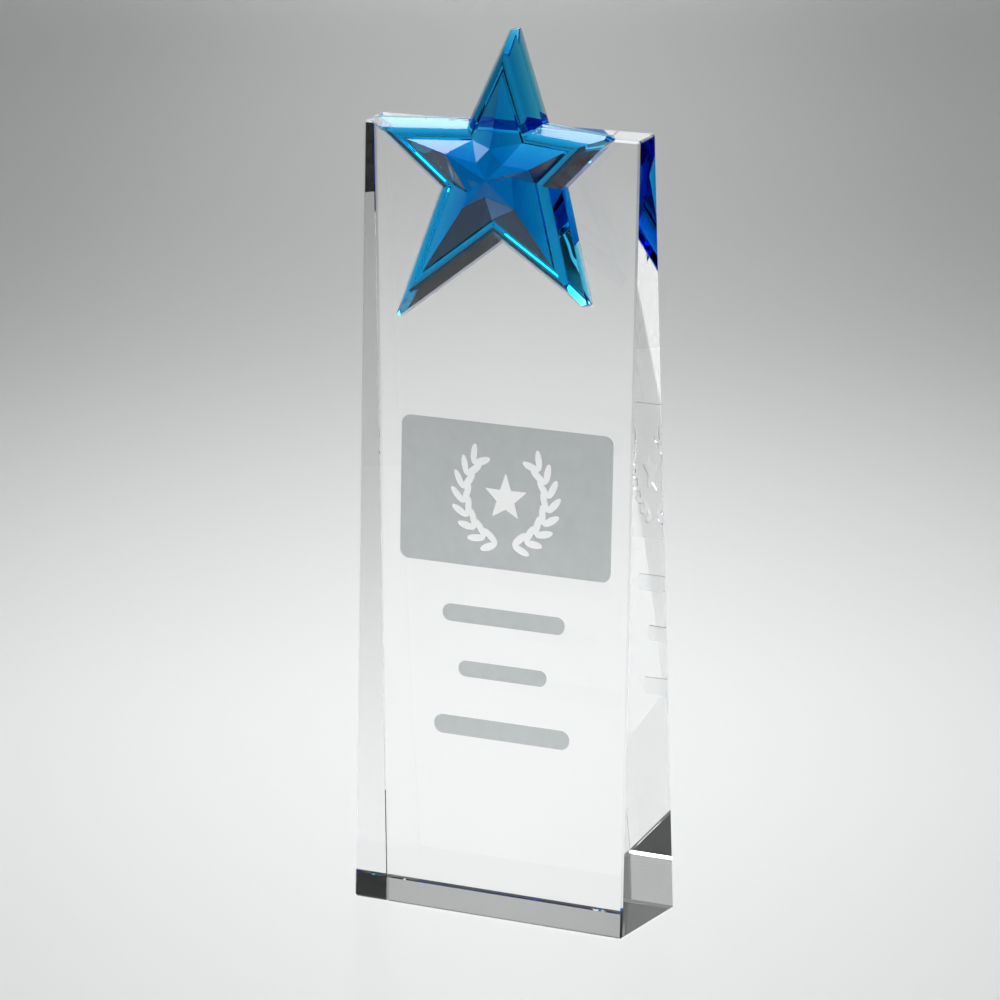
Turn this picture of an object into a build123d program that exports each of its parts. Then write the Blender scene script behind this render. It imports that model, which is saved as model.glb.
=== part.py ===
from build123d import *
import os
from math import atan, cos, degrees, hypot, radians, sin

# A glued crystal award: a clear wedge-shaped block with a faceted blue glass star on its front face.
# The origin is the centre of the block's foot, +Z is up and the front face looks along -Y.

# Crystal block, a wedge that is symmetric front to back
BLOCK_WIDTH = 80.0
FOOT_DEPTH = 30.0
TOP_DEPTH = 8.8
FRONT_HEIGHT = 207.0  # the top is polished with a slight fall towards the front
BACK_HEIGHT = 208.0
EDGE_CHAMFER = 0.5

# Frosted decoration, sandblasted into the front face and centred below the star
ETCH_DEPTH = 0.2
ETCH_X = 3.5
PANEL_WIDTH = 62.0
PANEL_HEIGHT = 38.0
PANEL_CORNER = 2.5
PANEL_CENTRE = 112.5  # up the front face
BARS = ((80.5, 36.0, 4.6), (66.0, 26.0, 4.2), (50.5, 40.0, 5.0))  # height up the face, length, width

# Laurel wreath and star, left clear and polished inside the frosted panel
WREATH_RADIUS = 12.6
WREATH_GAP = 34.0  # half of the open angle at the top of the wreath
LEAF_PAIRS = 8
LEAF_LENGTH = 5.4
LEAF_WIDTH = 2.0
LEAF_TURN = 32.0  # how far a leaf swings out from its branch
CENTRE_STAR_RADIUS = 6.6
CENTRE_STAR_NOTCH = 2.8

# Blue star. Its centre is given up the front face, its arms from that centre.
STAR_CENTRE = (3.0, 196.0)
# Direction in degrees and reach to the sharp tip of each arm, then where its centre ridge ends
ARMS = ((86.8, 39.3), (162.4, 42.1), (231.6, 50.1), (308.1, 40.9), (21.6, 33.6))
RIDGE_ENDS = ((84.0, 8.2), (154.0, 13.5), (228.0, 10.0), (321.0, 10.6), (16.5, 12.6))
# Direction and distance of each notch between an arm and the next one, then of its inner corner
NOTCHES = ((124.6, 17.3), (193.0, 18.3), (269.0, 16.4), (354.3, 17.2), (51.7, 18.2))
INNER_CORNERS = ((127.0, 5.3), (212.0, 6.6), (264.0, 4.2), (12.0, 7.2), (44.0, 6.2))
TIP_CUT = 1.3  # the blunted length of each tip
TIP_LEAN = 0.35  # how much more is cut off at the front of a tip than at its back
# Inset from the outline and height above the star's back, from the side wall to the inner star
RIM_PROFILE = ((0.0, 3.5), (2.2, 7.2), (3.0, 7.7), (3.9, 7.8), (4.15, 7.2), (4.7, 7.2), (4.95, 7.8))
RIDGE_HEIGHT = 12.2
INNER_CORNER_HEIGHT = 11.9
CENTRE_HEIGHT = 12.6

# Adhesive film between the star and the block
BOND_THICKNESS = 0.12
BOND_MARGIN = 0.4

HALF_FOOT = FOOT_DEPTH / 2
HALF_TOP = TOP_DEPTH / 2
LEAN = atan((HALF_FOOT - HALF_TOP) / FRONT_HEIGHT)
FACE_LENGTH = hypot(HALF_FOOT - HALF_TOP, FRONT_HEIGHT)


def front_plane(lift=0.0):
    """The leaning front face: x to the right, y up the face, z out of it, moved out by lift."""
    normal = Vector(0, -cos(LEAN), sin(LEAN))
    foot = Vector(0, -HALF_FOOT, 0) + normal * lift
    return Plane(origin=foot, x_dir=(1, 0, 0), z_dir=normal)


def polar(radius, angle):
    return radius * cos(radians(angle)), radius * sin(radians(angle))


def wedge():
    side = Polyline(
        (-HALF_FOOT, 0),
        (HALF_FOOT, 0),
        (HALF_TOP, BACK_HEIGHT),
        (-HALF_TOP, FRONT_HEIGHT),
        close=True,
    )
    profile = Plane.YZ * make_face(side)
    body = Pos(-BLOCK_WIDTH / 2, 0, 0) * extrude(profile, amount=BLOCK_WIDTH)
    return chamfer(body.edges(), length=EDGE_CHAMFER)


def leaf():
    """A laurel leaf: two equal arcs that meet at both ends, along +x from its stalk."""
    upper = ThreePointArc((0, 0), (LEAF_LENGTH / 2, LEAF_WIDTH / 2), (LEAF_LENGTH, 0))
    lower = ThreePointArc((0, 0), (LEAF_LENGTH / 2, -LEAF_WIDTH / 2), (LEAF_LENGTH, 0))
    return make_face([upper, lower])


def wreath():
    """Two branches that rise from the foot of a circle, each with leaf pairs along it."""
    leaves = []
    span = 180.0 - WREATH_GAP
    for side in (1, -1):
        for step in range(LEAF_PAIRS):
            along = -90.0 + side * (0.07 + 0.93 * step / LEAF_PAIRS) * span
            x, y = polar(WREATH_RADIUS, along)
            heading = along + side * 90.0
            for turn in (LEAF_TURN, -LEAF_TURN):
                leaves.append(Location((x, y, 0), (0, 0, heading + turn)) * leaf())
    return leaves


def centre_star():
    corners = []
    for point in range(5):
        corners.append(polar(CENTRE_STAR_RADIUS, 90.0 + 72.0 * point))
        corners.append(polar(CENTRE_STAR_NOTCH, 126.0 + 72.0 * point))
    return make_face(Polyline(*corners, close=True))


def frosting():
    """The recess that the sandblasting leaves, as one flat layer on the front face."""
    panel = RectangleRounded(PANEL_WIDTH, PANEL_HEIGHT, PANEL_CORNER) - centre_star()
    for clear_leaf in wreath():
        panel -= clear_leaf
    shapes = [Pos(ETCH_X, PANEL_CENTRE) * panel]
    for height, length, width in BARS:
        shapes.append(Pos(ETCH_X, height) * SlotOverall(length, width))
    return [extrude(front_plane() * shape, amount=-ETCH_DEPTH) for shape in shapes]


def crystal_block():
    body = wedge()
    for recess in frosting():
        body -= recess
    return body


def star_outline():
    """Tips and notches in turn, counter-clockwise, about the star's centre."""
    corners = []
    for (direction, reach), (notch_direction, notch_reach) in zip(ARMS, NOTCHES):
        corners.append(Vector(*polar(reach, direction)))
        corners.append(Vector(*polar(notch_reach, notch_direction)))
    return corners


def inset(corners, distance):
    """The outline moved inwards by distance, with its corners kept sharp."""
    moved = []
    for i, corner in enumerate(corners):
        into = (corner - corners[i - 1]).normalized()
        out = (corners[(i + 1) % len(corners)] - corner).normalized()
        normal_in = Vector(-into.Y, into.X)
        normal_out = Vector(-out.Y, out.X)
        miter = normal_in + normal_out
        moved.append(corner + miter * (distance / miter.dot(normal_in)))
    return moved


def lifted(corners, height):
    return [Vector(corner.X, corner.Y, height) for corner in corners]


def flat_face(points):
    return Face(Wire.make_polygon(points, close=True))


def band(lower, upper):
    """The flat strips between two outlines that run parallel."""
    count = len(lower)
    following = [(i + 1) % count for i in range(count)]
    return [flat_face([lower[i], lower[j], upper[j], upper[i]]) for i, j in enumerate(following)]


def inner_facets(rim):
    """The raised inner star: a ridge along each arm, steep facets into the notches and a low peak."""
    peak = Vector(0, 0, CENTRE_HEIGHT)
    ridges = [Vector(*polar(reach, direction), RIDGE_HEIGHT) for direction, reach in RIDGE_ENDS]
    inner = [Vector(*polar(reach, direction), INNER_CORNER_HEIGHT) for direction, reach in INNER_CORNERS]
    facets = []
    for i, ridge in enumerate(ridges):
        tip, notch, last_notch = rim[2 * i], rim[2 * i + 1], rim[2 * i - 1]
        next_ridge = ridges[(i + 1) % len(ridges)]
        facets.append(flat_face([tip, notch, ridge]))
        facets.append(flat_face([last_notch, tip, ridge]))
        facets.append(flat_face([notch, inner[i], ridge]))
        facets.append(flat_face([notch, next_ridge, inner[i]]))
        facets.append(flat_face([ridge, inner[i], peak]))
        facets.append(flat_face([inner[i], next_ridge, peak]))
    return facets


def blunt_tips(star):
    """Grinds the sharp end off each arm, a little further back at the front than at the wall's foot."""
    lean = degrees(atan(TIP_LEAN / RIM_PROFILE[0][1]))
    for direction, reach in ARMS:
        x, y = polar(reach - TIP_CUT, direction)
        tool = Location((x, y, 0), (0, 0, direction)) * Rot(0, -lean, 0)
        star -= tool * Box(20, 20, 40, align=(Align.MIN, Align.CENTER, Align.CENTER))
    return star


def blue_star():
    outline = star_outline()
    levels = [lifted(outline, 0.0)]
    for distance, height in RIM_PROFILE:
        levels.append(lifted(inset(outline, distance), height))
    faces = [flat_face(list(reversed(levels[0])))]
    for lower, upper in zip(levels, levels[1:]):
        faces += band(lower, upper)
    faces += inner_facets(levels[-1])
    star = blunt_tips(Solid(Shell(faces)))
    return front_plane(BOND_THICKNESS) * Pos(*STAR_CENTRE, 0) * star


def star_bond():
    """The film covers the part of the star's back that lies on the front face, short of its edge."""
    corners = [corner + Vector(*STAR_CENTRE) for corner in inset(star_outline(), BOND_MARGIN)]
    outline = make_face(Polyline(*corners, close=True))
    top = FACE_LENGTH - EDGE_CHAMFER - BOND_MARGIN
    reach = Pos(0, top) * Rectangle(BLOCK_WIDTH, FACE_LENGTH, align=(Align.CENTER, Align.MAX))
    return extrude(front_plane() * (outline & reach), amount=BOND_THICKNESS)


def write_parts():
    os.makedirs("parts", exist_ok=True)
    parts = {
        "crystal_block": crystal_block(),
        "blue_star": blue_star(),
        "star_bond": star_bond(),
    }
    for name, shape in parts.items():
        export_step(shape, f"parts/{name}.step")
        box = shape.bounding_box()
        print(name, "valid", shape.is_valid, "volume", round(shape.volume, 1), box.min, box.max)


write_parts()
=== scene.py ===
import math

import bmesh
import bpy
from mathutils import Matrix, Vector


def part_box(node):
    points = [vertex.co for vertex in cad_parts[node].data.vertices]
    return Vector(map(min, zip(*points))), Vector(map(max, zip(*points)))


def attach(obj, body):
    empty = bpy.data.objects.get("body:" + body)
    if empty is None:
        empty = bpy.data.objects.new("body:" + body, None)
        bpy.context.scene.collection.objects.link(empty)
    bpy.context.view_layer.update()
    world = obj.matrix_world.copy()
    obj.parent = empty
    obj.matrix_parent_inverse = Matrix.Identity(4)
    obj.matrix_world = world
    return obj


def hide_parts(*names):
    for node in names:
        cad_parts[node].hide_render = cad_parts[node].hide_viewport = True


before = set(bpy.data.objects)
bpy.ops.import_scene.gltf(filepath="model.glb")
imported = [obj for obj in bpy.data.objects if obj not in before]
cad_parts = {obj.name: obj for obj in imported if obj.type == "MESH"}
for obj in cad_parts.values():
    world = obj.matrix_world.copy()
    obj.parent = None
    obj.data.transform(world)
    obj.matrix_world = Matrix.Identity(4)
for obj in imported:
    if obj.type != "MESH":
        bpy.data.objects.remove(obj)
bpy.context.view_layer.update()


# CRYSTAL BLOCK
# One slab of clear optical glass, sawn to a wedge that is thick at the foot and thin at the top, with
# every face ground flat and polished and a small chamfer polished along each edge.

foot_low, foot_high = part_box("crystal_block")
block_width = foot_high.x - foot_low.x
foot_depth = 0.030
top_depth = 0.0088
front_height = 0.207
back_height = 0.208
block_chamfer = 0.0005
face_lean = math.atan((foot_depth - top_depth) / 2 / front_height)
face_length = math.hypot((foot_depth - top_depth) / 2, front_height)


def open_edit(piece, kind="FACE"):
    """Edit mode on one piece, with nothing selected."""
    bpy.ops.object.select_all(action="DESELECT")
    piece.select_set(True)
    bpy.context.view_layer.objects.active = piece
    bpy.ops.object.mode_set(mode="EDIT")
    bpy.ops.mesh.select_mode(type=kind)
    bpy.ops.mesh.select_all(action="DESELECT")


def close_edit():
    bpy.ops.object.mode_set(mode="OBJECT")


def pick(piece, kind, wanted):
    """Selects the faces, edges or verts of a piece in edit mode that answer to wanted, and no others."""
    bpy.ops.mesh.select_mode(type={"faces": "FACE", "edges": "EDGE", "verts": "VERT"}[kind])
    bpy.ops.mesh.select_all(action="DESELECT")
    mesh = bmesh.from_edit_mesh(piece.data)
    for item in getattr(mesh, kind):
        if wanted(item):
            item.select_set(True)
    mesh.select_flush_mode()
    bmesh.update_edit_mesh(piece.data)


def middle(edge):
    return (edge.verts[0].co + edge.verts[1].co) / 2


def place(piece, matrix):
    """Puts a piece where it belongs and leaves that place in its mesh."""
    piece.matrix_world = matrix @ piece.matrix_world
    bpy.ops.object.select_all(action="DESELECT")
    piece.select_set(True)
    bpy.context.view_layer.objects.active = piece
    bpy.ops.object.transform_apply(location=True, rotation=True, scale=True)


def cut_with(piece, tool, operation="DIFFERENCE", touching=False):
    """Takes a tool's shape out of a piece and throws the tool away."""
    bpy.ops.object.select_all(action="DESELECT")
    piece.select_set(True)
    bpy.context.view_layer.objects.active = piece
    bpy.ops.object.modifier_add(type="BOOLEAN")
    cutter = piece.modifiers[-1]
    cutter.operation = operation
    cutter.solver = "EXACT"
    cutter.use_self = touching
    cutter.object = tool
    bpy.ops.object.modifier_apply(modifier=cutter.name)
    bpy.data.objects.remove(tool)


bpy.ops.object.select_all(action="DESELECT")
bpy.ops.mesh.primitive_cube_add(size=1, location=(0, 0, front_height / 2))
block = bpy.context.object
block.name = "polished_block"
block.scale = (block_width, foot_depth, front_height)
bpy.ops.object.transform_apply(location=True, rotation=False, scale=True)
open_edit(block)
pick(block, "faces", lambda face: face.normal.z > 0.9)
bpy.ops.transform.resize(value=(1, top_depth / foot_depth, 1))
pick(block, "edges", lambda edge: middle(edge).z > front_height * 0.99 and middle(edge).y > top_depth * 0.45)
bpy.ops.transform.translate(value=(0, 0, back_height - front_height))
bpy.ops.mesh.select_all(action="SELECT")
bpy.ops.mesh.bevel(offset=block_chamfer, offset_type="OFFSET", segments=1, affect="EDGES")
close_edit()

# The front face as a drawing board: x to the right, y up the face and z out of it.
front_face = Matrix.Translation((0, -foot_depth / 2, 0)) @ Matrix.Rotation(math.pi / 2 - face_lean, 4, "X")
face_normal = front_face.to_3x3() @ Vector((0, 0, 1))


def depth_behind_front(point):
    return (front_face.translation - point).dot(face_normal)


def named_material(name):
    """A new material with its nodes, its shader and a link helper."""
    material = bpy.data.materials.new(name)
    material.use_nodes = True
    nodes = material.node_tree.nodes
    return material, nodes, nodes["Principled BSDF"], material.node_tree.links.new


glass_index = 1.52
clear_crystal, nodes, shader, link = named_material("clear_crystal")
shader.inputs["Base Color"].default_value = (1, 1, 1, 1)
shader.inputs["Roughness"].default_value = 0.0
shader.inputs["IOR"].default_value = glass_index
shader.inputs["Transmission Weight"].default_value = 1.0
# The faintest waviness, which lapping and polishing leave
lapping_scale = 28
lapping_depth = 0.00015
lapping_strength = 0.1
on_crystal = nodes.new("ShaderNodeTexCoord")
polishing = nodes.new("ShaderNodeTexNoise")
polishing.inputs["Scale"].default_value = lapping_scale
polishing.inputs["Detail"].default_value = 1
lapped = nodes.new("ShaderNodeBump")
lapped.inputs["Strength"].default_value = lapping_strength
lapped.inputs["Distance"].default_value = lapping_depth
link(on_crystal.outputs["Object"], polishing.inputs["Vector"])
link(polishing.outputs["Fac"], lapped.inputs["Height"])
link(lapped.outputs["Normal"], shader.inputs["Normal"])


# FROSTED DECORATION
# A panel and three bars sandblasted 0.2 mm deep into the front face through a stencil. The laurel
# wreath and its star are the parts that the stencil covered, so they stay polished and clear.

etch_depth = 0.0002
etch_x = 0.0035
panel_size = (0.062, 0.038)
panel_corner = 0.0025
panel_height = 0.1125
# Height up the face, length and width of each bar
bars = ((0.0805, 0.036, 0.0046), (0.066, 0.026, 0.0042), (0.0505, 0.040, 0.0050))
wreath_radius = 0.0126
wreath_gap = math.radians(34)
leaf_pairs = 8
first_pair = 0.07  # how far along its branch the lowest pair stands
pair_span = 0.93  # the part of the branch that the pairs are spread over
cutter_excess = 1.5  # a cutter stands this much proud of what it cuts
leaf_length = 0.0054
leaf_width = 0.0020
leaf_turn = math.radians(32)
clear_star_radius = 0.0066
clear_star_notch = 0.0028


def stencil_shape(name, corners, length, width):
    """A flat rounded outline, twice as thick as the blasting is deep, centred on the drawing board."""
    bpy.ops.object.select_all(action="DESELECT")
    bpy.ops.mesh.primitive_circle_add(vertices=corners, radius=0.5, fill_type="NGON")
    shape = bpy.context.object
    shape.name = name
    shape.scale = (length, width, 1)
    bpy.ops.object.transform_apply(location=False, rotation=False, scale=True)
    open_edit(shape)
    bpy.ops.mesh.select_all(action="SELECT")
    bpy.ops.transform.translate(value=(0, 0, -etch_depth))
    bpy.ops.mesh.extrude_region_move(TRANSFORM_OT_translate={"value": (0, 0, 2 * etch_depth)})
    bpy.ops.mesh.select_all(action="SELECT")
    bpy.ops.mesh.normals_make_consistent(inside=False)
    close_edit()
    return shape


def rounded_stencil(name, length, width, corner, segments):
    """A rectangle with its four corners rounded, on the drawing board."""
    bpy.ops.object.select_all(action="DESELECT")
    bpy.ops.mesh.primitive_cube_add(size=1)
    shape = bpy.context.object
    shape.name = name
    shape.scale = (length, width, 2 * etch_depth)
    bpy.ops.object.transform_apply(location=False, rotation=False, scale=True)
    open_edit(shape)
    pick(shape, "edges", lambda edge: abs(edge.verts[0].co.z - edge.verts[1].co.z) > etch_depth)
    bpy.ops.mesh.bevel(offset=corner, offset_type="OFFSET", segments=segments, affect="EDGES")
    close_edit()
    return shape


def joined(name, shapes):
    bpy.ops.object.select_all(action="DESELECT")
    for shape in shapes:
        shape.select_set(True)
    bpy.context.view_layer.objects.active = shapes[0]
    bpy.ops.object.join()
    shapes[0].name = name
    return shapes[0]


first_leaf = stencil_shape("leaf", 16, leaf_length, leaf_width)
place(first_leaf, Matrix.Translation((leaf_length / 2, 0, 0)) @ Matrix.Scale(cutter_excess, 4, (0, 0, 1)))
leaves = []
for side in (1, -1):
    for step in range(leaf_pairs):
        climb = (first_pair + pair_span * step / leaf_pairs) * (math.pi - wreath_gap)
        along = -math.pi / 2 + side * climb
        root = Vector((math.cos(along), math.sin(along), 0)) * wreath_radius
        for turn in (leaf_turn, -leaf_turn):
            leaf = first_leaf.copy()
            leaf.data = first_leaf.data.copy()
            bpy.context.collection.objects.link(leaf)
            heading = along + side * math.pi / 2 + turn
            place(leaf, Matrix.Translation(root) @ Matrix.Rotation(heading, 4, "Z"))
            leaves.append(leaf)
bpy.data.objects.remove(first_leaf)

clear_star = stencil_shape("clear_star", 10, 2 * clear_star_radius, 2 * clear_star_radius)
place(clear_star, Matrix.Scale(cutter_excess, 4, (0, 0, 1)))
open_edit(clear_star)


def is_notch(vertex):
    fifth = 2 * math.pi / 5
    from_point = (math.atan2(vertex.co.y, vertex.co.x) - math.pi / 2) % fifth
    return abs(from_point - fifth / 2) < 0.1


pick(clear_star, "verts", is_notch)
bpy.ops.transform.resize(value=(clear_star_notch / clear_star_radius,) * 2 + (1,))
close_edit()

panel = rounded_stencil("panel", *panel_size, panel_corner, 6)
cut_with(panel, joined("wreath", leaves), touching=True)
cut_with(panel, clear_star)
place(panel, front_face @ Matrix.Translation((etch_x, panel_height, 0)))
cut_with(block, panel)
for height, length, width in bars:
    bar = rounded_stencil("bar", length, width, width * 0.499, 8)
    place(bar, front_face @ Matrix.Translation((etch_x, height, 0)))
    cut_with(block, bar)

frosted, nodes, shader, link = named_material("frosted_crystal")
shader.inputs["IOR"].default_value = glass_index
shader.inputs["Transmission Weight"].default_value = 0.9
# Light that meets the frosting from inside at a slant of more than about 43 degrees is mirrored as
# smoothly as by clear glass
critical_slant = 0.27
blast_roughness = 0.5
side = nodes.new("ShaderNodeNewGeometry")
slant = nodes.new("ShaderNodeLayerWeight")
slant.inputs["Blend"].default_value = 0.5
past_critical = nodes.new("ShaderNodeMath")
past_critical.operation = "GREATER_THAN"
past_critical.inputs[1].default_value = critical_slant
mirrored = nodes.new("ShaderNodeMath")
mirrored.operation = "MULTIPLY"
blasting = nodes.new("ShaderNodeMapRange")
blasting.inputs["To Min"].default_value = blast_roughness
blasting.inputs["To Max"].default_value = 0.0
link(slant.outputs["Facing"], past_critical.inputs[0])
link(past_critical.outputs["Value"], mirrored.inputs[0])
link(side.outputs["Backfacing"], mirrored.inputs[1])
link(mirrored.outputs["Value"], blasting.inputs["Value"])
link(blasting.outputs["Result"], shader.inputs["Roughness"])
# Grains of the blasting grit, and a faint unevenness from pass to pass of the nozzle
grit_scale = 4000
grit_depth = 0.00002
grit_strength = 0.25
nozzle_scale = 260
# The frosting's grey is painted shade, for the dimmer light it scatters in from the room round about; the
# nozzle patches vary it at random
darkest_painted_frost_shade = (0.40, 0.43, 0.44, 1)
palest_painted_frost_shade = (0.45, 0.48, 0.49, 1)
on_face = nodes.new("ShaderNodeTexCoord")
grit = nodes.new("ShaderNodeTexNoise")
grit.inputs["Scale"].default_value = grit_scale
grit.inputs["Detail"].default_value = 3
grains = nodes.new("ShaderNodeBump")
grains.inputs["Strength"].default_value = grit_strength
grains.inputs["Distance"].default_value = grit_depth
patches = nodes.new("ShaderNodeTexNoise")
patches.inputs["Scale"].default_value = nozzle_scale
patches.inputs["Detail"].default_value = 4
painted_frost_shade = nodes.new("ShaderNodeValToRGB")
painted_frost_shade.color_ramp.elements[0].position = 0.3
painted_frost_shade.color_ramp.elements[0].color = darkest_painted_frost_shade
painted_frost_shade.color_ramp.elements[1].position = 0.7
painted_frost_shade.color_ramp.elements[1].color = palest_painted_frost_shade
link(on_face.outputs["Object"], grit.inputs["Vector"])
link(on_face.outputs["Object"], patches.inputs["Vector"])
link(grit.outputs["Fac"], grains.inputs["Height"])
link(grains.outputs["Normal"], shader.inputs["Normal"])
link(patches.outputs["Fac"], painted_frost_shade.inputs["Fac"])
link(painted_frost_shade.outputs["Color"], shader.inputs["Base Color"])


# BLUE STAR
# Solid blue glass, pressed in a mould and fire-polished: a straight side wall, a steep outer bevel
# that rolls over into a rounded crest, a fine groove, and a faceted inner star. Its tips are blunted.

star_centre = (0.003, 0.196)  # up the front face
bond_thickness = 0.00012
bond_margin = 0.0004
# Direction in degrees and reach to the sharp tip of each arm, then where its centre ridge ends
arms = ((86.8, 0.0393), (162.4, 0.0421), (231.6, 0.0501), (308.1, 0.0409), (21.6, 0.0336))
ridge_ends = ((84.0, 0.0082), (154.0, 0.0135), (228.0, 0.0100), (321.0, 0.0106), (16.5, 0.0126))
# Direction and distance of each notch between an arm and the next one, then of its inner corner
notches = ((124.6, 0.0173), (193.0, 0.0183), (269.0, 0.0164), (354.3, 0.0172), (51.7, 0.0182))
inner_corners = ((127.0, 0.0053), (212.0, 0.0066), (264.0, 0.0042), (12.0, 0.0072), (44.0, 0.0062))
wall_height = 0.0035
# How far in and how far up each strip goes, from the top of the wall over the crest to the inner star
rim_strips = (
    (0.00190, 0.00320),
    (0.00014, 0.00021),
    (0.00016, 0.00019),
    (0.00019, 0.00017),
    (0.00022, 0.00015),
    (0.00026, 0.00013),
    (0.00030, 0.00011),
    (0.00033, 0.00008),
    (0.00040, 0.00006),
    (0.00025, -0.00060),
    (0.00055, 0.0),
    (0.00025, 0.00060),
)
ridge_height = 0.0122
inner_corner_height = 0.0119
peak_height = 0.0126
inner_notch_limit = 0.014  # the inner star's notches lie nearer the centre than this, its tips further out
tip_cut = 0.0013
tip_lean = 0.1
star_softening = 0.00016
sharp_enough = math.radians(7.5)  # edges that turn by more than this are rounded


def on_circle(direction, distance):
    angle = math.radians(direction)
    return Vector((math.cos(angle), math.sin(angle), 0)) * distance


def bearing(point):
    return math.degrees(math.atan2(point.y, point.x)) % 360


def drag_vertex(piece, index, target):
    """Moves one vertex of a piece in edit mode to where it should be."""
    pick(piece, "verts", lambda vertex: vertex.index == index)
    mesh = bmesh.from_edit_mesh(piece.data)
    mesh.verts.ensure_lookup_table()
    bpy.ops.transform.translate(value=target - mesh.verts[index].co)


def star_plate(name, height, margin=0):
    """A plate with the star's outline, from a ten-sided disc whose corners are pulled out and in."""
    bpy.ops.object.select_all(action="DESELECT")
    bpy.ops.mesh.primitive_circle_add(vertices=10, radius=0.02, fill_type="NGON")
    plate = bpy.context.object
    plate.name = name
    outline = []
    for (direction, reach), (notch_direction, notch_reach) in zip(arms, notches):
        outline.append(on_circle(direction, reach))
        outline.append(on_circle(notch_direction, notch_reach))
    open_edit(plate)
    corners = sorted(bmesh.from_edit_mesh(plate.data).verts, key=lambda vertex: bearing(vertex.co))
    outline.sort(key=bearing)
    for index, target in zip([corner.index for corner in corners], outline):
        drag_vertex(plate, index, target)
    bpy.ops.mesh.select_all(action="SELECT")
    if margin:
        bpy.ops.mesh.inset(thickness=margin)
        bpy.ops.mesh.select_all(action="INVERT")
        bpy.ops.mesh.delete(type="FACE")
        bpy.ops.mesh.select_all(action="SELECT")
    bpy.ops.mesh.extrude_region_move(TRANSFORM_OT_translate={"value": (0, 0, height)})
    close_edit()
    return plate


star = star_plate("blue_glass_star", wall_height)
open_edit(star)
pick(star, "faces", lambda face: face.calc_center_median().z > wall_height * 0.9)
for inwards, upwards in rim_strips:
    bpy.ops.mesh.inset(thickness=inwards, depth=upwards)
inner_height = wall_height + sum(upwards for _, upwards in rim_strips)
bpy.ops.mesh.poke()


def from_axis(vertex):
    return vertex.co.xy.length


peak = min(bmesh.from_edit_mesh(star.data).verts, key=from_axis).index
pick(star, "edges", lambda edge: peak in (edge.verts[0].index, edge.verts[1].index))
bpy.ops.mesh.subdivide(number_cuts=1)
drag_vertex(star, peak, Vector((0, 0, peak_height)))
mesh = bmesh.from_edit_mesh(star.data)
mesh.verts.ensure_lookup_table()
breaks = [edge.other_vert(mesh.verts[peak]) for edge in mesh.verts[peak].link_edges]
breaks = [vertex.index for vertex in sorted(breaks, key=lambda vertex: bearing(vertex.co))]
# Beginning at the right arm, as the sorted breaks do: a ridge end, then the inner corner after it
facet_corners = []
for arm in (4, 0, 1, 2, 3):
    facet_corners.append((*ridge_ends[arm], ridge_height))
    facet_corners.append((*inner_corners[arm], inner_corner_height))
ridges = breaks[::2]
for index, (direction, distance, height) in zip(breaks, facet_corners):
    drag_vertex(star, index, on_circle(direction, distance) + Vector((0, 0, height)))


def joins_a_facet(vertex):
    """The ridge breaks and the notches of the inner star, which each facet's edge runs between."""
    on_rim = abs(vertex.co.z - inner_height) < 1e-6 and from_axis(vertex) < inner_notch_limit
    inside_groove = any(other.other_vert(vertex).index in breaks for other in vertex.link_edges)
    return vertex.index in ridges or (on_rim and inside_groove)


pick(star, "verts", joins_a_facet)
bpy.ops.mesh.vert_connect()
for direction, reach in arms:
    bpy.ops.mesh.select_all(action="SELECT")
    outwards = on_circle(direction, 1) + Vector((0, 0, tip_lean))
    bpy.ops.mesh.bisect(
        plane_co=on_circle(direction, reach - tip_cut), plane_no=outwards, use_fill=True, clear_outer=True
    )
close_edit()
open_edit(star)


def worth_rounding(edge):
    """The edges that the fire polish has rounded: all but those with hardly a turn to them."""
    return edge.calc_face_angle(0) > sharp_enough


pick(star, "edges", worth_rounding)
bpy.ops.mesh.bevel(
    offset=star_softening, offset_type="WIDTH", segments=2, affect="EDGES", clamp_overlap=True
)
close_edit()

# The adhesive wets the back of the star up to the block's top edge, a little short of the outline.
bond_top = face_length - block_chamfer - bond_margin


def trim_to_bond(piece, keep_above):
    bpy.ops.mesh.bisect(
        plane_co=(0, bond_top - star_centre[1], 0),
        plane_no=(0, 1, 0),
        clear_outer=not keep_above,
        use_fill=not keep_above,
    )


open_edit(star)
pick(star, "faces", lambda face: face.normal.z < -0.99)
bpy.ops.mesh.inset(thickness=bond_margin - star_softening)
trim_to_bond(star, True)
close_edit()

# The large part of the back that the adhesive wets, and not its rim or the tip above the block
smallest_wetted_area = 1e-4
highest_wetted_middle = 0.02
bonded = star.data.attributes.new("bonded", "FLOAT", "FACE")
for face, value in zip(star.data.polygons, bonded.data):
    faces_block = face.normal.z < -0.99 and face.center.y < highest_wetted_middle
    value.value = float(faces_block and face.area > smallest_wetted_area)
place(star, front_face @ Matrix.Translation((*star_centre, bond_thickness)))
bpy.ops.object.shade_smooth_by_angle(angle=math.radians(30))
bpy.ops.object.modifier_add(type="WEIGHTED_NORMAL")
flat_facets = star.modifiers[-1]
flat_facets.keep_sharp = True
flat_facets.weight = 100
bpy.ops.object.modifier_apply(modifier=flat_facets.name)
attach(star, "root")
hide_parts("blue_star")


blue_glass, nodes, shader, link = named_material("blue_glass")
shader.inputs["Base Color"].default_value = (1, 1, 1, 1)
shader.inputs["Roughness"].default_value = 0.0
shader.inputs["IOR"].default_value = glass_index
shader.inputs["Transmission Weight"].default_value = 1.0
# Cobalt and copper in the melt take out all the red and some of the green
tint = nodes.new("ShaderNodeVolumeAbsorption")
tint.inputs["Color"].default_value = (0.0, 0.778, 0.942, 1)
tint.inputs["Density"].default_value = 530
link(tint.outputs["Volume"], nodes["Material Output"].inputs["Volume"])
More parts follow.
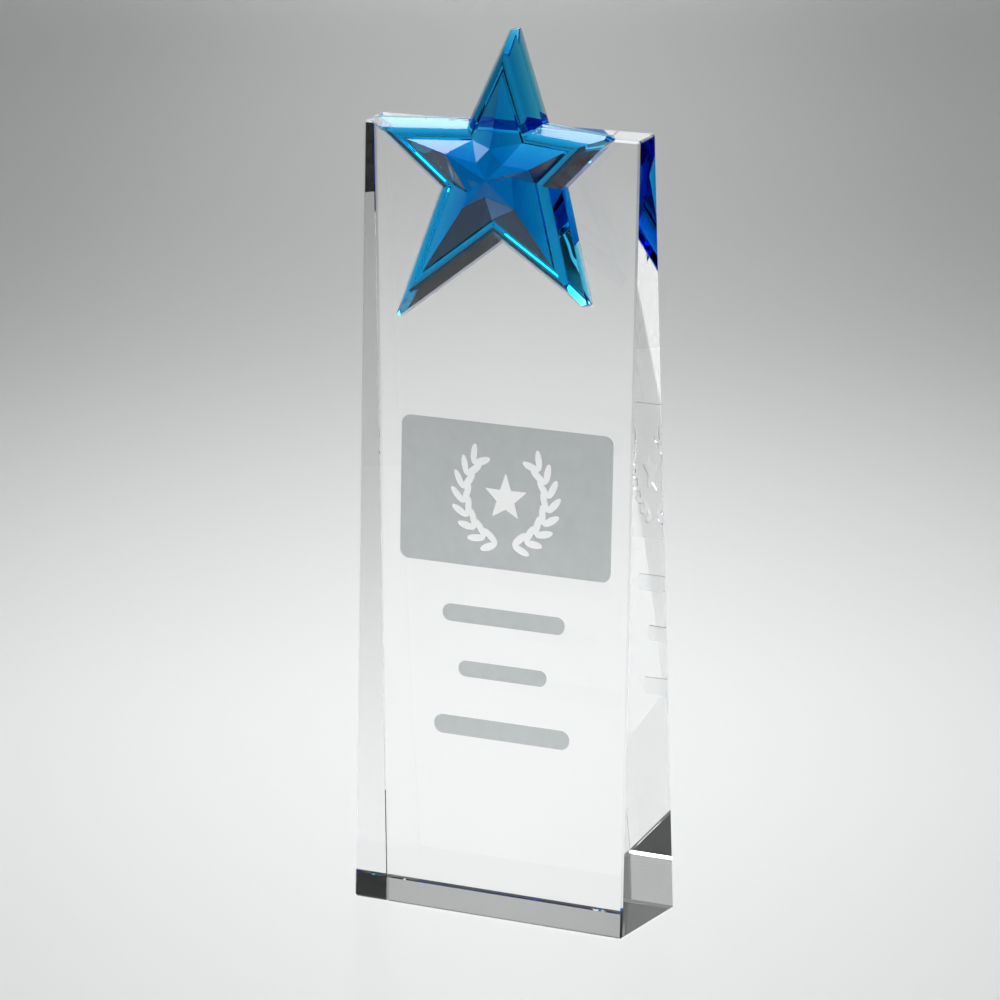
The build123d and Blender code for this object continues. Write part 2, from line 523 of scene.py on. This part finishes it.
# The mould leaves long shallow waves that the fire polish doesn't take away
wave_scale = 130
wave_depth = 0.00025
wave_strength = 0.5
surface = nodes.new("ShaderNodeTexCoord")
mould_waves = nodes.new("ShaderNodeTexNoise")
mould_waves.inputs["Scale"].default_value = wave_scale
mould_waves.inputs["Detail"].default_value = 1
pressed = nodes.new("ShaderNodeBump")
pressed.inputs["Strength"].default_value = wave_strength
pressed.inputs["Distance"].default_value = wave_depth
link(surface.outputs["Object"], mould_waves.inputs["Vector"])
link(mould_waves.outputs["Fac"], pressed.inputs["Height"])
link(pressed.outputs["Normal"], shader.inputs["Normal"])
# Where the adhesive wets the star its surface is left open, and light goes straight on
wetted = nodes.new("ShaderNodeAttribute")
wetted.attribute_name = "bonded"
open_glass = nodes.new("ShaderNodeMath")
open_glass.operation = "SUBTRACT"
open_glass.inputs[0].default_value = 1
link(wetted.outputs["Fac"], open_glass.inputs[1])
link(open_glass.outputs["Value"], shader.inputs["Alpha"])
star.data.materials.append(blue_glass)


# ADHESIVE FILM
# A hair-thin layer of clear, UV-cured glass adhesive that joins the star's back to the block. The glass
# on both sides of it is left open and the film doesn't bend light, so star and block read as one piece.

seat_depth = 0.00001
bond_seat = star_plate("bond_seat", 2 * seat_depth, bond_margin)
open_edit(bond_seat)
bpy.ops.mesh.select_all(action="SELECT")
trim_to_bond(bond_seat, False)
close_edit()
place(bond_seat, front_face @ Matrix.Translation((*star_centre, -seat_depth)))
cut_with(block, bond_seat)

film_index = 1.0
cure_scale = 180
cure_roughness = 0.03
adhesive, nodes, shader, link = named_material("clear_adhesive")
shader.inputs["Base Color"].default_value = (1, 1, 1, 1)
shader.inputs["Roughness"].default_value = 0.0
shader.inputs["IOR"].default_value = film_index
shader.inputs["Transmission Weight"].default_value = 1.0
in_film = nodes.new("ShaderNodeTexCoord")
cure_marks = nodes.new("ShaderNodeTexNoise")
cure_marks.inputs["Scale"].default_value = cure_scale
cured = nodes.new("ShaderNodeMapRange")
cured.inputs["To Max"].default_value = cure_roughness
link(in_film.outputs["Object"], cure_marks.inputs["Vector"])
link(cure_marks.outputs["Fac"], cured.inputs["Value"])
link(cured.outputs["Result"], shader.inputs["Roughness"])
film = bpy.data.objects["star_bond"]
film.data.materials.clear()
film.data.materials.append(adhesive)

wetted_crystal, nodes, shader, link = named_material("wetted_crystal")
shader.inputs["Base Color"].default_value = (1, 1, 1, 1)
shader.inputs["Transmission Weight"].default_value = 1.0
shader.inputs["Alpha"].default_value = 0.0

# With its last cut made, the block gets its finishes: clear all over, frosted in the decoration's
# recess, and open under the adhesive. The recess's narrow walls have their middles at half its depth.
lowest_decoration = 0.01
lowest_seat = 0.1
for material in (clear_crystal, frosted, wetted_crystal):
    block.data.materials.append(material)
for face in block.data.polygons:
    depth = depth_behind_front(face.center)
    in_seat = seat_depth * 0.9 < depth < seat_depth * 1.1
    in_recess = etch_depth * 0.4 < depth < etch_depth * 1.1
    under_panel = abs(face.center.x - etch_x) < panel_size[0] / 2 + 1e-5
    if in_seat and face.center.z > lowest_seat:
        face.material_index = 2
    elif in_recess and under_panel and face.center.z > lowest_decoration:
        face.material_index = 1
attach(block, "root")
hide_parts("crystal_block")


# STUDIO
# Pale paper that sweeps up into a backdrop all round, a large softbox overhead and smaller ones for the
# back wall and on the left. The black cards and the grey curtain are there for the glass alone: the
# camera doesn't see them and they throw no shadow.

sweep_radius = 1.9
sweep_rise = 0.9
wall_above_sweep = 0.6
below_foot = 0.0001  # the paper lies just clear of the block's foot
bpy.ops.object.select_all(action="DESELECT")
bpy.ops.mesh.primitive_circle_add(
    vertices=96, radius=sweep_radius, fill_type="NGON", location=(0, 0, -below_foot)
)
sweep = bpy.context.object
sweep.name = "studio_sweep"
open_edit(sweep)
pick(sweep, "edges", lambda edge: True)
bends = 10
for step in range(bends):
    turn = math.pi / 2 * (step + 1) / bends
    before = math.pi / 2 * step / bends
    growth = sweep_rise * (math.sin(turn) - math.sin(before))
    radius = sweep_radius + sweep_rise * math.sin(before)
    bpy.ops.mesh.extrude_region_move()
    bpy.ops.transform.resize(value=(1 + growth / radius, 1 + growth / radius, 1), center_override=(0, 0, 0))
    bpy.ops.transform.translate(value=(0, 0, sweep_rise * (math.cos(before) - math.cos(turn))))
bpy.ops.mesh.extrude_region_move(TRANSFORM_OT_translate={"value": (0, 0, wall_above_sweep)})
bpy.ops.mesh.select_all(action="SELECT")
bpy.ops.mesh.normals_make_consistent(inside=True)
close_edit()
bpy.ops.object.shade_smooth_by_angle(angle=math.radians(30))

view_turn = math.radians(28.872)
# Painted light and shade on the paper: how bright it is painted at each distance behind the object, along
# the middle of the sweep
painted_floor_light = (
    (-1.5, 0.72), (-0.8, 0.80), (-0.3, 0.84), (0.0, 0.86), (0.1, 0.86), (0.2, 0.83), (0.3, 0.75),
    (0.42, 0.65), (0.55, 0.54), (0.7, 0.42), (0.85, 0.37), (1.05, 0.35), (1.3, 0.395), (1.55, 0.44),
    (1.75, 0.52), (2.1, 0.80), (2.5, 0.90),
)
# How the painted light darkens to either side of that middle, and gets paler again further out
painted_side_shade = (
    (0.0, 1.0), (0.07, 0.96), (0.145, 0.86), (0.21, 0.74), (0.3, 0.62), (0.43, 0.58), (0.58, 0.55),
    (0.72, 0.56), (0.95, 0.70), (1.3, 0.84), (2.0, 0.90),
)
paper_tint = (0.985, 1, 1)
paper, nodes, shader, link = named_material("studio_paper")


def painted_light_ramp(tones, tint):
    """A smooth ramp with one stop for each distance, from the first distance to the last."""
    ramp = nodes.new("ShaderNodeValToRGB")
    ramp.color_ramp.interpolation = "B_SPLINE"
    stops = ramp.color_ramp.elements
    nearest = tones[0][0]
    reach = tones[-1][0] - nearest
    for distance, _ in tones[1:-1]:
        stops.new((distance - nearest) / reach)
    for stop, (_, value) in zip(stops, tones):
        stop.color = (value * tint[0], value * tint[1], value * tint[2], 1)
    return ramp


# The paper's colour is its tint times both ramps of painted light and shade
where = nodes.new("ShaderNodeTexCoord")
along_view = nodes.new("ShaderNodeMapping")
along_view.vector_type = "TEXTURE"
along_view.inputs["Rotation"].default_value = (0, 0, view_turn)
across_and_back = nodes.new("ShaderNodeSeparateXYZ")
depth_of_floor = nodes.new("ShaderNodeMapRange")
depth_of_floor.inputs["From Min"].default_value = painted_floor_light[0][0]
depth_of_floor.inputs["From Max"].default_value = painted_floor_light[-1][0]
tone = painted_light_ramp(painted_floor_light, paper_tint)
off_middle = nodes.new("ShaderNodeMath")
off_middle.operation = "ABSOLUTE"
width_of_floor = nodes.new("ShaderNodeMapRange")
width_of_floor.inputs["From Max"].default_value = painted_side_shade[-1][0]
side_light = painted_light_ramp(painted_side_shade, (1, 1, 1))
lit_tone = nodes.new("ShaderNodeVectorMath")
lit_tone.operation = "SCALE"
link(where.outputs["Object"], along_view.inputs["Vector"])
link(along_view.outputs["Vector"], across_and_back.inputs["Vector"])
link(across_and_back.outputs["Y"], depth_of_floor.inputs["Value"])
link(depth_of_floor.outputs["Result"], tone.inputs["Fac"])
link(across_and_back.outputs["X"], off_middle.inputs[0])
link(off_middle.outputs["Value"], width_of_floor.inputs["Value"])
link(width_of_floor.outputs["Result"], side_light.inputs["Fac"])
link(tone.outputs["Color"], lit_tone.inputs[0])
link(side_light.outputs["Color"], lit_tone.inputs["Scale"])
link(lit_tone.outputs["Vector"], shader.inputs["Base Color"])
shader.inputs["Roughness"].default_value = 0.3
shader.inputs["Specular IOR Level"].default_value = 0.3
sweep.data.materials.append(paper)


def flag(name, corner, along, height):
    """An upright black card that gives the glass its dark edges, from one foot corner along the floor."""
    bpy.ops.object.select_all(action="DESELECT")
    bpy.ops.mesh.primitive_plane_add(size=1, rotation=(math.pi / 2, 0, 0), location=(0.5, 0, 0.5))
    card = bpy.context.object
    card.name = name
    place(card, Matrix.Identity(4))
    turn = math.atan2(along[1], along[0])
    length = math.hypot(*along)
    size = Matrix.Diagonal((length, 1, height, 1))
    place(card, Matrix.Translation(corner) @ Matrix.Rotation(turn, 4, "Z") @ size)
    card.visible_camera = False
    card.visible_diffuse = False
    card.visible_shadow = False
    card.data.materials.append(black_cloth)
    return card


black_cloth, nodes, shader, link = named_material("black_cloth")
shader.inputs["Base Color"].default_value = (0.004, 0.004, 0.004, 1)
shader.inputs["Roughness"].default_value = 0.9
shader.inputs["Specular IOR Level"].default_value = 0.0
to_right = Vector((math.cos(view_turn), math.sin(view_turn), 0))
to_back = Vector((-math.sin(view_turn), math.cos(view_turn), 0))
flag("right_flag", to_right * 0.65 + to_back * 0.1, to_back.xy * 0.9, 0.7)
front_flag = flag("front_flag", to_right * 1.6 - to_back * 0.75, to_right.xy * -3.2, 1.3)
front_flag.visible_transmission = False
left_flag = flag("left_flag", to_right * -0.75 - to_back * 0.75, to_back.xy * 0.8, 0.5)
left_flag.visible_transmission = False

# A taller card across the left, which is seen through the glass and not as a reflection on it
card_distance = 1.25
far_left = on_circle(140, card_distance)
near_left = on_circle(178, card_distance)
tall_flag = flag("tall_left_flag", near_left, (far_left - near_left).xy, 0.85)
tall_flag.visible_glossy = False

# The dark room above the paper's far edge
flag("far_flag", to_right * 0.6 + to_back * 2.5 + Vector((0, 0, 1.22)), to_right.xy * -1.2, 0.5)

# A low grey curtain all round, which puts a darker horizon into the glass
bpy.ops.object.select_all(action="DESELECT")
curtain_radius = 1.7
curtain_height = 0.4
bpy.ops.mesh.primitive_cylinder_add(
    vertices=96,
    radius=curtain_radius,
    depth=curtain_height,
    end_fill_type="NOTHING",
    location=(0, 0, curtain_height / 2),
)
curtain = bpy.context.object
curtain.name = "horizon_curtain"
place(curtain, Matrix.Identity(4))
curtain.visible_camera = False
curtain.visible_diffuse = False
curtain.visible_glossy = False
curtain.visible_shadow = False
grey_cloth, nodes, shader, link = named_material("grey_cloth")
shader.inputs["Base Color"].default_value = (0.08, 0.08, 0.08, 1)
shader.inputs["Roughness"].default_value = 0.9
shader.inputs["Specular IOR Level"].default_value = 0.0
curtain.data.materials.append(grey_cloth)


def softbox(name, place_at, aim, width, depth, power):
    bpy.ops.object.select_all(action="DESELECT")
    bpy.ops.object.light_add(type="AREA", location=place_at)
    lamp = bpy.context.object
    lamp.name = name
    lamp.data.shape = "RECTANGLE"
    lamp.data.size = width
    lamp.data.size_y = depth
    lamp.data.energy = power
    lamp.rotation_euler = (Vector(aim) - Vector(place_at)).to_track_quat("-Z", "Y").to_euler()
    return lamp


softbox("overhead_softbox", (-0.1, 0.2, 1.5), (0, 0, 0), 1.9, 1.7, 64)
wall_lamp_place = to_back * 1.2 + Vector((0, 0, 1.55))
wall_middle = to_back * 2.8 + Vector((0, 0, 0.8))
softbox("wall_softbox", wall_lamp_place, wall_middle, 1.4, 0.3, 22)
softbox("left_softbox", (-1.15, 0.1, 0.78), (0, 0, 0.2), 0.5, 0.5, 2)

world = bpy.data.worlds.new("studio_air")
bpy.context.scene.world = world
world.use_nodes = True
room_light = world.node_tree.nodes["Background"]
room_light.inputs["Color"].default_value = (0.45, 0.45, 0.45, 1)
room_light.inputs["Strength"].default_value = 1.0

cycles = bpy.context.scene.cycles
cycles.max_bounces = 24
cycles.glossy_bounces = 16
cycles.transmission_bounces = 24
cycles.transparent_max_bounces = 16
cycles.caustics_reflective = False
cycles.caustics_refractive = False
bpy.context.scene.view_settings.view_transform = "Standard"

# With caustics off, glass would throw a solid dark shadow, so it throws none and the light that bounces
# off the paper passes it by
for glass in (block, star, film):
    glass.visible_shadow = False
    glass.visible_diffuse = False


# CAMERA
# It stands in front, to the right and a little above, with a long lens.

camera_place = (0.61036, -1.11271, 0.41218)
camera_dip = 13.416  # degrees below level
camera_roll = -0.4157
lens_length = 180.69
film_width = 36
bpy.ops.object.select_all(action="DESELECT")
bpy.ops.object.camera_add(location=camera_place)
camera = bpy.context.object
camera.name = "studio_camera"
swing = Matrix.Rotation(view_turn, 4, "Z")
tilt = Matrix.Rotation(math.radians(90 - camera_dip), 4, "X")
roll = Matrix.Rotation(math.radians(camera_roll), 4, "Z")
camera.matrix_world = Matrix.Translation(camera.location) @ swing @ tilt @ roll
camera.data.lens = lens_length
camera.data.sensor_width = film_width
camera.data.clip_start = 0.01
bpy.context.scene.camera = camera
